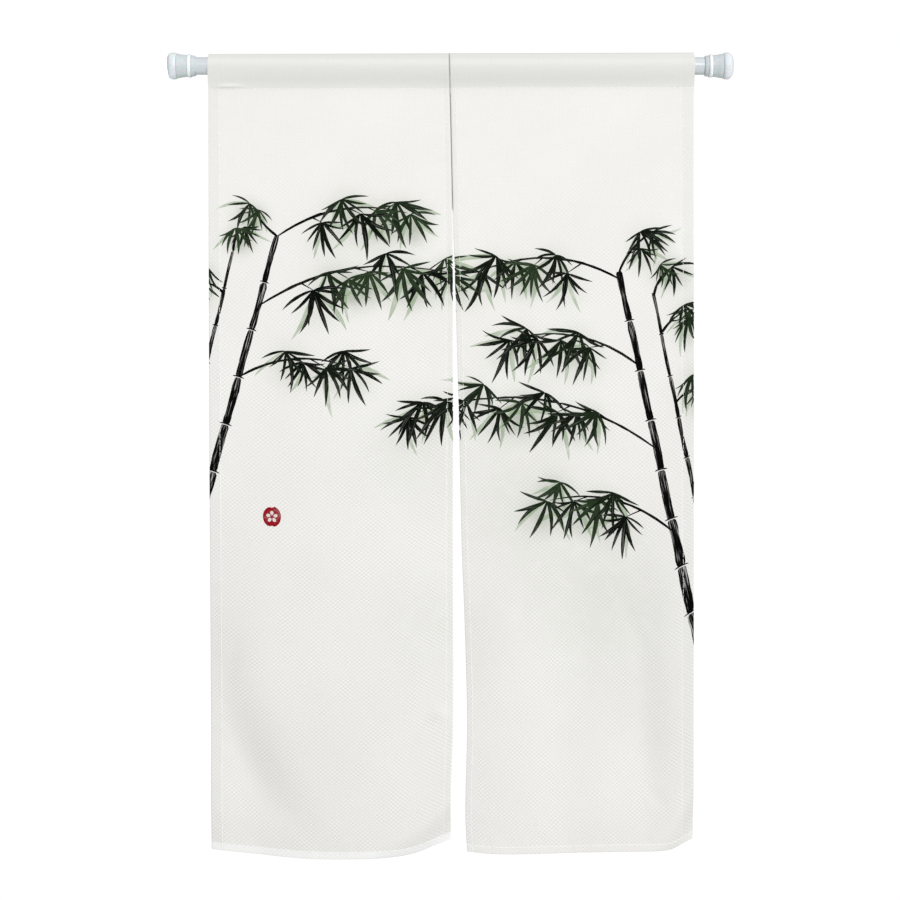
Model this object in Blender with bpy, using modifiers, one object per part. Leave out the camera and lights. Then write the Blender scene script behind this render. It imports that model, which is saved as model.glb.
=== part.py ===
"""Split door curtain: two cloth panels whose rod pockets hang on a white tension rod.

The rod's axis is the X axis and runs from the left foot's pad, at the origin, to the right
foot's pad. The printed side of the cloth faces -Y, and +Z is up. All lengths are in metres,
and the rows of the tables are in millimetres.
"""

import math
from collections import namedtuple

import bmesh
import bpy

MM = 0.001

# Rod
ROD_LENGTH = 1008 * MM
TUBE_RADIUS = 15.3 * MM
TUBE_WALL = 0.8 * MM
FIT_GAP = 0.3 * MM

# End fittings, measured along the rod from the pad's face
PAD_RADIUS = 9.0 * MM
DOME_LENGTH = 9.5 * MM
FOOT_RADIUS = 23.8 * MM
FOOT_LENGTH = 18.0 * MM
PLUG_LENGTH = 22.0 * MM
SLEEVE_END = 51.3 * MM
SLEEVE_SHOULDER = 21.6 * MM
SLEEVE_NECK = 19.0 * MM
RING_CENTRE = 40.4 * MM
RING_WIDTH = 6.4 * MM
RING_RADIUS = 20.4 * MM
GROOVE_DEPTH = 1.0 * MM
TURN_STEPS = 32

# Cloth
CLOTH_THICKNESS = 1.2 * MM
HEM_THICKNESS = 2.0 * MM
POCKET_GAP = 0.5 * MM
CREST_LEFT = 20.2 * MM
CREST_RIGHT = 23.2 * MM
STITCHING_LEFT = 40.8 * MM
STITCHING_RIGHT = 37.6 * MM
BODY_COLUMNS = 15
BODY_ROWS = 40
ARC_STEPS = 5
HEM_STEP = 2.0 * MM

EdgeRow = namedtuple("EdgeRow", "drop left right")
HemRow = namedtuple("HemRow", "across drop")
Fold = namedtuple("Fold", "across half_width depth slant start")
Curl = namedtuple("Curl", "side inward upward depth")
Panel = namedtuple("Panel", "name edges hem_line folds curl left_hem right_hem bottom_hem")

# Where each panel's two edges hang, by their drop below the rod's axis
LEFT_EDGES = [
    EdgeRow(-21, 73.6, 502.2),
    EdgeRow(260, 73.8, 508.2),
    EdgeRow(560, 75.0, 509.6),
    EdgeRow(860, 76.2, 509.2),
    EdgeRow(1160, 77.2, 509.6),
    EdgeRow(1290, 77.4, 505.6),
    EdgeRow(1340, 78.0, 505.4),
    EdgeRow(1414, 79.0, 508.0),
]
RIGHT_EDGES = [
    EdgeRow(-21, 503.0, 938.4),
    EdgeRow(260, 509.0, 938.8),
    EdgeRow(420, 514.0, 938.8),
    EdgeRow(640, 520.0, 938.6),
    EdgeRow(860, 525.0, 938.4),
    EdgeRow(990, 530.0, 938.4),
    EdgeRow(1165, 534.4, 938.6),
    EdgeRow(1290, 531.8, 938.8),
    EdgeRow(1340, 531.4, 939.4),
    EdgeRow(1406, 535.0, 940.4),
]

# How low the hem hangs, across each panel from its left edge at 0 to its right edge at 1
LEFT_HEM_LINE = [
    HemRow(0.00, 1396),
    HemRow(0.20, 1404),
    HemRow(0.40, 1410),
    HemRow(0.60, 1410),
    HemRow(0.78, 1407),
    HemRow(0.86, 1401),
    HemRow(0.93, 1390),
    HemRow(1.00, 1379),
]
RIGHT_HEM_LINE = [
    HemRow(0.00, 1398),
    HemRow(0.12, 1402),
    HemRow(0.35, 1402),
    HemRow(0.60, 1400),
    HemRow(0.84, 1397),
    HemRow(0.91, 1391),
    HemRow(1.00, 1379),
]

# Soft folds, by how far the hem swings away from the viewer. Each grows from its start down
# the panel, as a share of the drop, and has moved across by its slant when it reaches the hem.
LEFT_FOLDS = [
    Fold(across=0.48, half_width=0.34, depth=-17, slant=0.06, start=0.12),
    Fold(across=0.33, half_width=0.11, depth=11, slant=0.62, start=0.42),
    Fold(across=0.08, half_width=0.10, depth=-5, slant=0.10, start=0.35),
    Fold(across=1.02, half_width=0.20, depth=16, slant=0.05, start=0.55),
    Fold(across=0.86, half_width=0.08, depth=-6, slant=-0.10, start=0.40),
]
RIGHT_FOLDS = [
    Fold(across=0.10, half_width=0.24, depth=-15, slant=-0.04, start=0.15),
    Fold(across=0.44, half_width=0.10, depth=8, slant=-0.12, start=0.38),
    Fold(across=0.64, half_width=0.13, depth=-10, slant=-0.06, start=0.30),
    Fold(across=0.85, half_width=0.07, depth=10, slant=0.04, start=0.42),
    Fold(across=1.04, half_width=0.16, depth=12, slant=0.00, start=0.60),
]

# The lower corner of each panel that curls back, by how far the curl reaches from the corner
LEFT_CURL = Curl(side=1, inward=130, upward=110, depth=30)
RIGHT_CURL = Curl(side=1, inward=105, upward=120, depth=32)

PANELS = [
    Panel("panel_left", LEFT_EDGES, LEFT_HEM_LINE, LEFT_FOLDS, LEFT_CURL, 20 * MM, 11 * MM, 13 * MM),
    Panel("panel_right", RIGHT_EDGES, RIGHT_HEM_LINE, RIGHT_FOLDS, RIGHT_CURL, 11 * MM, 21 * MM, 13 * MM),
]


def clear_scene():
    for found in list(bpy.data.objects):
        bpy.data.objects.remove(found)


def make_collection(name):
    made = bpy.data.collections.new(name)
    bpy.context.scene.collection.children.link(made)
    return made


def make_material(name, colour, roughness):
    made = bpy.data.materials.new(name)
    made.use_nodes = True
    shader = made.node_tree.nodes["Principled BSDF"]
    shader.inputs["Base Color"].default_value = (*colour, 1.0)
    shader.inputs["Roughness"].default_value = roughness
    shader.inputs["Metallic"].default_value = 0.0
    return made


def curve_through(rows, at):
    """The value at a place on a smooth curve through a table's (place, value) rows."""
    if at <= rows[0][0]:
        return rows[0][1]
    if at >= rows[-1][0]:
        return rows[-1][1]
    last = len(rows) - 1
    k = max(i for i in range(last) if rows[i][0] <= at)

    def slope(i):
        before, after = rows[max(i - 1, 0)], rows[min(i + 1, last)]
        return (after[1] - before[1]) / (after[0] - before[0])

    span = rows[k + 1][0] - rows[k][0]
    t = (at - rows[k][0]) / span
    ease = t * t * (3 - 2 * t)
    leave = t * (1 - t) ** 2 * span * slope(k)
    arrive = t * t * (t - 1) * span * slope(k + 1)
    return rows[k][1] * (1 - ease) + rows[k + 1][1] * ease + leave + arrive


def eased(t):
    t = min(max(t, 0), 1)
    return t * t * (3 - 2 * t)


def fold_depth(panel, across, down):
    """How far the cloth stands away from the viewer at a place on the panel."""
    depth = 0
    for fold in panel.folds:
        middle = fold.across + fold.slant * (down - 1)
        bell = math.exp(-(((across - middle) / fold.half_width) ** 2))
        depth += fold.depth * bell * eased((down - fold.start) / (1 - fold.start))
    curl = panel.curl
    width = panel.edges[-1].right - panel.edges[-1].left
    from_side = abs(curl.side - across) * width
    from_hem = (1 - down) * panel.hem_line[-1].drop
    depth += curl.depth * eased(1 - from_side / curl.inward - from_hem / curl.upward)
    return depth * MM


def edge_place(panel, across, z):
    """The x of a place across the panel at a height."""
    left = curve_through([(row.drop, row.left) for row in panel.edges], -z / MM)
    right = curve_through([(row.drop, row.right) for row in panel.edges], -z / MM)
    return (left + (right - left) * across) * MM


def along_rod(x, left, right):
    """A height that changes evenly along the rod, because the cloth was drawn on unevenly."""
    return left + (right - left) * x / ROD_LENGTH


def body_point(panel, across, down):
    """A point of the hanging cloth, from the pocket's stitching at 0 to the hem at 1."""
    hem = curve_through(panel.hem_line, across) * MM
    stitching = along_rod(edge_place(panel, across, 0), STITCHING_LEFT, STITCHING_RIGHT)
    z = -(stitching + (hem - stitching) * down)
    return edge_place(panel, across, z), fold_depth(panel, across, down), z


def pocket_section(x):
    """The (y, z) points of the rod pocket, up its front, over the crest and down its back.

    The cloth leaves the stitching, meets the tube's front, follows it round and leaves it
    again for the pressed crease of the crest.
    """
    stitching = along_rod(x, STITCHING_LEFT, STITCHING_RIGHT)
    crest = along_rod(x, CREST_LEFT, CREST_RIGHT) - CLOTH_THICKNESS / 2
    peak = crest + 1.2 * MM
    seat = TUBE_RADIUS + POCKET_GAP + HEM_THICKNESS / 2
    low = math.acos(seat / stitching)
    high = math.pi - math.acos(seat / peak)
    arc = []
    for k in range(ARC_STEPS + 1):
        turn = low + (high - low) * k / ARC_STEPS
        arc.append((-seat * math.sin(turn), -seat * math.cos(turn)))
    meets, leaves = arc[0], arc[-1]
    rising = [(meets[0] * share, -stitching + (meets[1] + stitching) * share) for share in (1 / 3, 2 / 3)]
    shoulder = (leaves[0] * 0.3, leaves[1] + (peak - leaves[1]) * 0.7)
    front = [*rising, *arc, shoulder]
    back = [(-y, z) for y, z in reversed(front)]
    return [*front, (0.0, crest), *back]


def stations(start_hem, end_hem, length, count):
    """Shares of a length, with a narrow step at the inner edge of each hem."""
    marks = [0.0, start_hem, start_hem + HEM_STEP] if start_hem else [0.0]
    tail = [length - end_hem - HEM_STEP, length - end_hem, length]
    first, last = marks[-1], tail[0]
    between = [first + (last - first) * k / count for k in range(1, count)]
    return [mark / length for mark in [*marks, *between, *tail]]


def make_panel(panel, collection, material):
    """One panel, cut in one piece: its body, its hems and the pocket turned over the rod.

    The grid's rows run up from the hem to the stitching and on round the pocket, whose last
    row comes back to the stitching and is welded to it.
    """
    width = (panel.edges[0].right - panel.edges[0].left) * MM
    drop = panel.hem_line[0].drop * MM - STITCHING_LEFT
    across = stations(panel.left_hem, panel.right_hem, width, BODY_COLUMNS)
    down = stations(0, panel.bottom_hem, drop, BODY_ROWS)[::-1]
    columns, body_rows = len(across), len(down)
    rows = body_rows + len(pocket_section(0)) + 1

    sheet = bmesh.new()
    bmesh.ops.create_grid(sheet, x_segments=columns - 1, y_segments=rows - 1, size=0.5)
    hems = sheet.verts.layers.deform.verify()
    for corner in sheet.verts:
        column = round((corner.co.x + 0.5) * (columns - 1))
        row = round((corner.co.y + 0.5) * (rows - 1))
        share = across[column]
        if row < body_rows:
            corner.co = body_point(panel, share, down[row])
        elif row == rows - 1:
            corner.co = body_point(panel, share, 0)
        else:
            y, z = pocket_section(edge_place(panel, share, 0))[row - body_rows]
            corner.co = (edge_place(panel, share, z), y, z)
        in_hem = column < 2 or column > columns - 3 or row < 2
        corner[hems][0] = 1.0 if in_hem else 0.0
    bmesh.ops.remove_doubles(sheet, verts=sheet.verts, dist=0.05 * MM)
    bmesh.ops.recalc_face_normals(sheet, faces=sheet.faces)

    mesh = bpy.data.meshes.new(panel.name)
    sheet.to_mesh(mesh)
    sheet.free()
    made = bpy.data.objects.new(panel.name, mesh)
    made.vertex_groups.new(name="hems")
    collection.objects.link(made)
    mesh.materials.append(material)
    solid = made.modifiers.new("thickness", "SOLIDIFY")
    solid.solidify_mode = "NON_MANIFOLD"
    solid.nonmanifold_thickness_mode = "EVEN"
    solid.nonmanifold_merge_threshold = 0.01 * MM
    solid.thickness = HEM_THICKNESS
    solid.offset = 0.0
    solid.vertex_group = "hems"
    solid.thickness_vertex_group = CLOTH_THICKNESS / HEM_THICKNESS
    mesh.shade_smooth()
    return made


def make_turned(name, profile, collection, material, closed, mirrored):
    """A turned piece. The profile's points are (distance from the pad's face, radius)."""
    outline = bmesh.new()
    corners = [outline.verts.new((radius, 0, -along)) for along, radius in profile]
    pairs = list(zip(corners, corners[1:]))
    if closed:
        pairs.append((corners[-1], corners[0]))
    for pair in pairs:
        outline.edges.new(pair)
    mesh = bpy.data.meshes.new(name)
    outline.to_mesh(mesh)
    outline.free()
    made = bpy.data.objects.new(name, mesh)
    collection.objects.link(made)
    mesh.materials.append(material)
    turn = made.modifiers.new("turning", "SCREW")
    turn.axis = "Z"
    turn.steps = TURN_STEPS
    turn.render_steps = TURN_STEPS
    turn.use_merge_vertices = True
    turn.merge_threshold = 0.01 * MM
    turn.use_smooth_shade = True
    made.rotation_euler.y = math.pi / 2 if mirrored else -math.pi / 2
    made.location.x = ROD_LENGTH if mirrored else 0
    return made


def make_tube(collection, material):
    """The rod's steel tube, from one foot's shoulder to the other's."""
    start = FOOT_LENGTH + FIT_GAP
    end = ROD_LENGTH - start
    bore = TUBE_RADIUS - TUBE_WALL
    profile = [(start, TUBE_RADIUS), (end, TUBE_RADIUS), (end, bore), (start, bore)]
    return make_turned("rod_tube", profile, collection, material, closed=True, mirrored=False)


def make_foot(side, mirrored, collection, material):
    """A soft foot: a flat pad in a domed face, a flared rim and the plug in the tube."""
    plug = TUBE_RADIUS - TUBE_WALL - FIT_GAP
    plug_end = FOOT_LENGTH + PLUG_LENGTH
    bevel = 1.5 * MM
    rim = FOOT_RADIUS - 0.5 * MM
    dome = []
    for k in range(7):
        turn = math.pi / 2 * k / 6
        dome.append((DOME_LENGTH * (1 - math.cos(turn)), PAD_RADIUS + (rim - PAD_RADIUS) * math.sin(turn)))
    profile = [
        (0, 0),
        *dome,
        (DOME_LENGTH + 2.0 * MM, FOOT_RADIUS),
        (FOOT_LENGTH - 3.0 * MM, FOOT_RADIUS - 0.4 * MM),
        (FOOT_LENGTH, FOOT_RADIUS - 2.0 * MM),
        (FOOT_LENGTH, plug),
        (plug_end - bevel, plug),
        (plug_end, plug - bevel),
        (plug_end, 0),
    ]
    return make_turned(f"foot_{side}", profile, collection, material, closed=False, mirrored=mirrored)


def make_sleeve(side, mirrored, collection, material):
    """The moulded sleeve over the tube's end, necked down from the foot, with a ring groove."""
    bore = TUBE_RADIUS + FIT_GAP
    start = FOOT_LENGTH + FIT_GAP
    groove_start = RING_CENTRE - RING_WIDTH / 2
    groove_end = RING_CENTRE + RING_WIDTH / 2
    profile = [
        (start, bore),
        (start, SLEEVE_SHOULDER),
        (start + 5.0 * MM, SLEEVE_SHOULDER - 0.8 * MM),
        (start + 11.0 * MM, SLEEVE_NECK + 0.6 * MM),
        (groove_start, SLEEVE_NECK),
        (groove_start, SLEEVE_NECK - GROOVE_DEPTH),
        (groove_end, SLEEVE_NECK - GROOVE_DEPTH),
        (groove_end, SLEEVE_NECK - 0.3 * MM),
        (SLEEVE_END - 3.0 * MM, SLEEVE_NECK - 0.9 * MM),
        (SLEEVE_END - 0.8 * MM, SLEEVE_NECK - 1.6 * MM),
        (SLEEVE_END, SLEEVE_NECK - 2.5 * MM),
        (SLEEVE_END, bore),
    ]
    return make_turned(f"sleeve_{side}", profile, collection, material, closed=True, mirrored=mirrored)


def make_ring(side, mirrored, collection, material):
    """The bright rounded ring snapped into the sleeve's groove."""
    seat = SLEEVE_NECK - GROOVE_DEPTH + FIT_GAP
    shoulder = seat + 1.0 * MM
    half_width = RING_WIDTH / 2 - FIT_GAP
    crown = []
    for k in range(5):
        turn = math.pi * k / 4
        along = RING_CENTRE - half_width * math.cos(turn)
        crown.append((along, shoulder + (RING_RADIUS - shoulder) * math.sin(turn)))
    profile = [(RING_CENTRE - half_width, seat), *crown, (RING_CENTRE + half_width, seat)]
    return make_turned(f"ring_{side}", profile, collection, material, closed=True, mirrored=mirrored)


def main():
    clear_scene()
    parts = make_collection("split door curtain and rod")
    cloth = make_material("off-white cloth", (0.86, 0.85, 0.82), 0.85)
    steel = make_material("white enamelled steel", (0.80, 0.83, 0.85), 0.30)
    moulding = make_material("white moulded plastic", (0.78, 0.82, 0.84), 0.35)
    gloss = make_material("glossy white plastic", (0.90, 0.95, 0.96), 0.20)
    soft = make_material("soft white plastic", (0.84, 0.87, 0.90), 0.45)
    for panel in PANELS:
        make_panel(panel, parts, cloth)
    make_tube(parts, steel)
    for side, mirrored in (("left", False), ("right", True)):
        make_foot(side, mirrored, parts, soft)
        make_sleeve(side, mirrored, parts, moulding)
        make_ring(side, mirrored, parts, gloss)


main()
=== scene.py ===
"""Looks of a split door curtain: two printed cloth panels hung by their pockets on a white rod."""

import math
import random
from collections import namedtuple

import bmesh
import bpy
import numpy as np
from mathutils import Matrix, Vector
from mathutils.geometry import delaunay_2d_cdt


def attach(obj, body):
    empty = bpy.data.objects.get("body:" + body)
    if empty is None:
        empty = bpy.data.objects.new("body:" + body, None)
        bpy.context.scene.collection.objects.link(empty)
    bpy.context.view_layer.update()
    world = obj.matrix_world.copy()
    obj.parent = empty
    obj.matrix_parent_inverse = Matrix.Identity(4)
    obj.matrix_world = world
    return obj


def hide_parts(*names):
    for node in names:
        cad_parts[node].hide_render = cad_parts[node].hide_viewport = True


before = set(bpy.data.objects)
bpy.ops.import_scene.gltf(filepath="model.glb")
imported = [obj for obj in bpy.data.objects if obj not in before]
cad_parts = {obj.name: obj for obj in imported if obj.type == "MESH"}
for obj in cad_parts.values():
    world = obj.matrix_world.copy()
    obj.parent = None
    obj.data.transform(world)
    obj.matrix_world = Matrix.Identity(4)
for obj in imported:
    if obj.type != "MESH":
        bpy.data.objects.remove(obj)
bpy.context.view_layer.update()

# Rod tube
# A thin steel tube rolled to 30.6 mm and enamelled white, the carrier of the whole curtain.
# Its ends run into the sleeves and most of it hides in the pockets.

MM = 0.001
ROD_LENGTH = 1008 * MM
TUBE_RADIUS = 15.3 * MM
TUBE_START = 18.3 * MM
TUBE_BORE = 14.5 * MM
TUBE_STRETCHES = 24
TURN_STEPS = 96
CORNER_STEPS = 4


class Field:
    """A value that varies over a surface. Sums and products of fields add their Math nodes."""

    def __init__(self, finish, socket):
        self.finish = finish
        self.socket = socket

    def math(self, operation, *others, first=None):
        """A Math node on this field, or on another first value, and the values after it."""
        values = [self if first is None else first, *others]
        return self.finish.node("ShaderNodeMath", {"operation": operation}, dict(enumerate(values)))

    def __add__(self, other):
        return self.math("ADD", other)

    def __mul__(self, other):
        return self.math("MULTIPLY", other)

    def __sub__(self, other):
        return self.math("SUBTRACT", other)

    def __truediv__(self, other):
        return self.math("DIVIDE", other)

    def __rsub__(self, other):
        return self.math("SUBTRACT", self, first=other)

    __radd__ = __add__

    def rises(self, low, high):
        """Goes smoothly from 0 to 1 as the field goes from low to high."""
        settings = {"interpolation_type": "SMOOTHSTEP"}
        sockets = {"Value": self, "From Min": low, "From Max": high}
        return self.finish.node("ShaderNodeMapRange", settings, sockets)


class Finish:
    """One surface's material, whose patterns are written as expressions on fields."""

    def __init__(self, name, roughness, **constants):
        self.material = bpy.data.materials.new(name)
        self.material.use_nodes = True
        self.nodes = self.material.node_tree.nodes
        self.links = self.material.node_tree.links
        self.shader = self.nodes["Principled BSDF"]
        self.set("Roughness", roughness)
        for socket, value in constants.items():
            self.set(socket.replace("_", " "), value)

    def wire(self, socket, value):
        """Links a field to a socket, or sets its constant value. A colour of three gets its alpha."""
        if isinstance(value, Field):
            self.links.new(value.socket, socket)
        elif isinstance(value, tuple) and len(value) == 3 and len(socket.default_value) == 4:
            socket.default_value = (*value, 1.0)
        else:
            socket.default_value = value

    def set(self, socket, value):
        self.wire(self.shader.inputs[socket], value)

    def node(self, kind, settings=None, sockets=None, output=0):
        """Any node: its settings are set first, then the values or links of its sockets."""
        made = self.nodes.new(kind)
        for key, value in (settings or {}).items():
            setattr(made, key, value)
        for key, value in (sockets or {}).items():
            self.wire(made.inputs[key], value)
        return Field(self, made.outputs[output])

    def place(self):
        """Where a point lies on the object, in metres."""
        return self.node("ShaderNodeTexCoord", output="Object")

    def parts(self, vector):
        """The three components of a vector."""
        split = self.nodes.new("ShaderNodeSeparateXYZ")
        self.wire(split.inputs[0], vector)
        return [Field(self, socket) for socket in split.outputs]

    def vector(self, x=0.0, y=0.0, z=0.0):
        return self.node("ShaderNodeCombineXYZ", None, {0: x, 1: y, 2: z})

    def noise(self, where, scale, detail=2.0, roughness=0.5):
        sockets = {"Vector": where, "Scale": scale, "Detail": detail, "Roughness": roughness}
        return self.node("ShaderNodeTexNoise", None, sockets)

    def mix(self, share, first, second, blend="MIX"):
        settings = {"data_type": "RGBA", "blend_type": blend}
        return self.node("ShaderNodeMix", settings, {0: share, 6: first, 7: second}, output=2)

    def bump(self, height, distance, strength=1.0):
        sockets = {"Height": height, "Distance": distance, "Strength": strength}
        self.set("Normal", self.node("ShaderNodeBump", None, sockets))


def placed(name, data):
    """An object for a mesh, curve, lamp or camera, linked into the scene."""
    made = bpy.data.objects.new(name, data)
    bpy.context.scene.collection.objects.link(made)
    return made


def turned(name, profile, finish, node, mirrored=False):
    """A turned piece on the rod's axis. The profile's points are (distance from the pad, radius)."""
    outline = bmesh.new()
    corners = [outline.verts.new((along, 0, radius)) for along, radius in profile]
    for first, second in zip(corners, corners[1:]):
        outline.edges.new((first, second))
    if profile[0][1] > 0:
        outline.edges.new((corners[-1], corners[0]))
    bmesh.ops.spin(
        outline,
        geom=outline.verts[:] + outline.edges[:],
        axis=(1, 0, 0),
        cent=(0, 0, 0),
        steps=TURN_STEPS,
        angle=2 * math.pi,
        use_duplicate=False,
    )
    bmesh.ops.remove_doubles(outline, verts=outline.verts, dist=0.002 * MM)
    if mirrored:
        for corner in outline.verts:
            corner.co.x = ROD_LENGTH - corner.co.x
    bmesh.ops.recalc_face_normals(outline, faces=outline.faces)
    mesh = bpy.data.meshes.new(name)
    outline.to_mesh(mesh)
    outline.free()
    mesh.shade_smooth()
    mesh.set_sharp_from_angle(angle=math.radians(50))
    mesh.materials.append(finish.material)
    piece = placed(name, mesh)
    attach(piece, "root")
    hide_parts(node)


def rounded(points, radius):
    """A profile whose corners are rounded to a radius, or to less on a short side."""
    made = [points[0]]
    for before, corner, after in zip(points, points[1:], points[2:]):
        before, corner, after = Vector(before), Vector(corner), Vector(after)
        cut = min(radius, (before - corner).length * 0.45, (after - corner).length * 0.45)
        start = corner + (before - corner).normalized() * cut
        end = corner + (after - corner).normalized() * cut
        for k in range(CORNER_STEPS + 1):
            t = k / CORNER_STEPS
            made.append(tuple(start * (1 - t) ** 2 + corner * 2 * t * (1 - t) + end * t * t))
    made.append(points[-1])
    return made


def enamel():
    """White enamel over steel: a faint orange peel, fine lines along the tube and a little grime."""
    made = Finish("white enamel", 0.24, Coat_Weight=0.35, Coat_Roughness=0.08)
    place = made.place()
    x, y, z = made.parts(place)
    lines = made.noise(made.vector(x * 6, y * 900, z * 900), 1.0, 2)
    peel = made.noise(place, 420, 3)
    grime = made.noise(place, 22, 4).rises(0.45, 0.8)
    made.set("Base Color", made.mix(grime, (0.685, 0.727, 0.755), (0.64, 0.684, 0.712)))
    made.set("Roughness", 0.2 + lines * 0.14)
    made.bump(peel * 0.6 + lines * 0.4, 0.03 * MM)
    return made


tube_end = ROD_LENGTH - TUBE_START
tube_profile = [(TUBE_START, TUBE_BORE), (TUBE_START, TUBE_RADIUS)]
for k in range(1, TUBE_STRETCHES):
    tube_profile.append((TUBE_START + (tube_end - TUBE_START) * k / TUBE_STRETCHES, TUBE_RADIUS))
tube_profile += [(tube_end, TUBE_RADIUS), (tube_end, TUBE_BORE)]
turned("tube", tube_profile, enamel(), "rod_tube")

# Sleeves
# Moulded plastic sleeves pushed over the tube's ends, necked down from the feet.
# They are white with a cool, slightly milky depth, and carry a groove for the ring.

SLEEVE_END = 51.3 * MM
SLEEVE_SHOULDER = 21.6 * MM
SLEEVE_NECK = 19.0 * MM
SLEEVE_BORE = 15.6 * MM
RING_CENTRE = 40.4 * MM
RING_WIDTH = 6.4 * MM
SIDES = (("left", False), ("right", True))


def milky_plastic():
    """Moulded plastic: flow marks along the sleeve and a fine sparked texture."""
    made = Finish(
        "milky plastic",
        0.5,
        Specular_IOR_Level=0.3,
        Subsurface_Weight=0.3,
        Subsurface_Scale=0.008,
    )
    place = made.place()
    x, y, z = made.parts(place)
    flow = made.noise(made.vector(x * 60, y * 160, z * 160), 1.0, 3)
    spark = made.noise(place, 2600, 2)
    made.set("Base Color", made.mix(flow.rises(0.3, 0.75), (0.645, 0.695, 0.717), (0.60, 0.65, 0.675)))
    made.set("Roughness", 0.46 + spark * 0.14)
    made.bump(spark * 0.5 + flow * 0.5, 0.05 * MM)
    return made


sleeve_profile = rounded(
    [
        (TUBE_START, SLEEVE_BORE),
        (TUBE_START, SLEEVE_SHOULDER),
        (TUBE_START + 5.0 * MM, SLEEVE_SHOULDER - 0.8 * MM),
        (TUBE_START + 11.0 * MM, SLEEVE_NECK + 0.6 * MM),
        (RING_CENTRE - RING_WIDTH / 2, SLEEVE_NECK),
        (RING_CENTRE - RING_WIDTH / 2, SLEEVE_NECK - 1.0 * MM),
        (RING_CENTRE + RING_WIDTH / 2, SLEEVE_NECK - 1.0 * MM),
        (RING_CENTRE + RING_WIDTH / 2, SLEEVE_NECK - 0.3 * MM),
        (SLEEVE_END - 3.0 * MM, SLEEVE_NECK - 0.9 * MM),
        (SLEEVE_END - 0.8 * MM, SLEEVE_NECK - 1.6 * MM),
        (SLEEVE_END, SLEEVE_NECK - 2.5 * MM),
        (SLEEVE_END, SLEEVE_BORE),
    ],
    0.5 * MM,
)
sleeve_finish = milky_plastic()
for side, mirrored in SIDES:
    piece_name, node = f"sleeve_moulding_{side}", f"sleeve_{side}"
    turned(piece_name, sleeve_profile, sleeve_finish, node, mirrored)

# Rings
# A bright polished plastic ring snapped into each sleeve's groove.
# It catches the light as a thin white band.

RING_RADIUS = 20.4 * MM
RING_SEAT = 18.3 * MM
ROUND_STEPS = 16


def polished_plastic():
    """Polished white plastic with faint turning marks round it."""
    made = Finish("polished plastic", 0.3, Coat_Weight=0.2, Coat_Roughness=0.1, Specular_IOR_Level=0.3)
    x, y, z = made.parts(made.place())
    marks = made.noise(made.vector(x * 4000, y * 40, z * 40), 1.0, 2)
    made.set("Base Color", made.mix(marks.rises(0.3, 0.7), (0.965, 0.99, 0.985), (0.93, 0.965, 0.965)))
    made.set("Roughness", 0.26 + marks * 0.1)
    made.bump(marks, 0.01 * MM)
    return made


ring_half = RING_WIDTH / 2 - 0.3 * MM
ring_profile = [(RING_CENTRE - ring_half, RING_SEAT)]
for k in range(ROUND_STEPS + 1):
    turn = math.pi * k / ROUND_STEPS
    ring_height = RING_SEAT + 1.0 * MM + (RING_RADIUS - RING_SEAT - 1.0 * MM) * math.sin(turn)
    ring_profile.append((RING_CENTRE - ring_half * math.cos(turn), ring_height))
ring_profile.append((RING_CENTRE + ring_half, RING_SEAT))
ring_finish = polished_plastic()
for side, mirrored in SIDES:
    turned(f"ring_band_{side}", ring_profile, ring_finish, f"ring_{side}", mirrored)

# Feet
# Soft plastic feet that press on the door's jambs, plugged into the tube.
# The domed face ends in a small flat pad with moulded grip rings.

PAD_RADIUS = 9.0 * MM
DOME_LENGTH = 9.5 * MM
FOOT_RADIUS = 23.8 * MM
FOOT_LENGTH = 18.0 * MM
PLUG_RADIUS = 14.2 * MM
PLUG_END = 40.0 * MM
GRIP_RINGS = 3


def soft_plastic():
    """Soft plastic: matt and a little mottled, with a fine grain."""
    made = Finish("soft plastic", 0.5, Subsurface_Weight=0.3, Subsurface_Scale=0.008, Sheen_Weight=0.1)
    place = made.place()
    mottle = made.noise(place, 180, 4).rises(0.3, 0.75)
    grain = made.noise(place, 3200, 2)
    made.set("Base Color", made.mix(mottle, (0.79, 0.828, 0.862), (0.745, 0.785, 0.817)))
    made.set("Roughness", 0.38 + grain * 0.22)
    made.bump(grain * 0.7 + mottle * 0.3, 0.06 * MM)
    return made


foot_profile = [(0, 0)]
for k in range(GRIP_RINGS):
    middle = PAD_RADIUS * (k + 0.6) / GRIP_RINGS
    for offset, depth in ((-0.5, 0.0), (-0.2, 0.35), (0.2, 0.35), (0.5, 0.0)):
        foot_profile.append((depth * MM, middle + offset * MM))
for k in range(ROUND_STEPS + 1):
    turn = math.pi / 2 * k / ROUND_STEPS
    along = DOME_LENGTH * (1 - math.cos(turn))
    foot_profile.append((along, PAD_RADIUS + (FOOT_RADIUS - 0.5 * MM - PAD_RADIUS) * math.sin(turn)))
foot_profile += rounded(
    [
        (DOME_LENGTH + 2.0 * MM, FOOT_RADIUS),
        (FOOT_LENGTH - 3.0 * MM, FOOT_RADIUS - 0.4 * MM),
        (FOOT_LENGTH, FOOT_RADIUS - 2.0 * MM),
        (FOOT_LENGTH, PLUG_RADIUS),
        (PLUG_END - 1.5 * MM, PLUG_RADIUS),
        (PLUG_END, PLUG_RADIUS - 1.5 * MM),
        (PLUG_END, 0),
    ],
    0.8 * MM,
)
foot_finish = soft_plastic()
for side, mirrored in SIDES:
    turned(f"foot_cap_{side}", foot_profile, foot_finish, f"foot_{side}", mirrored)

# Cloth panels
# Off-white linen-look hopsack weave, cut in one length for each panel, printed and then hemmed.
# The top is turned over the rod to the back and stitched down as the pocket.

# Lengths on the cloth are in millimetres, here down to GRID and in the tables of the panels. Folds
# and hem rows are placed by shares of the panel, and a negative depth comes forward.

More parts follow.
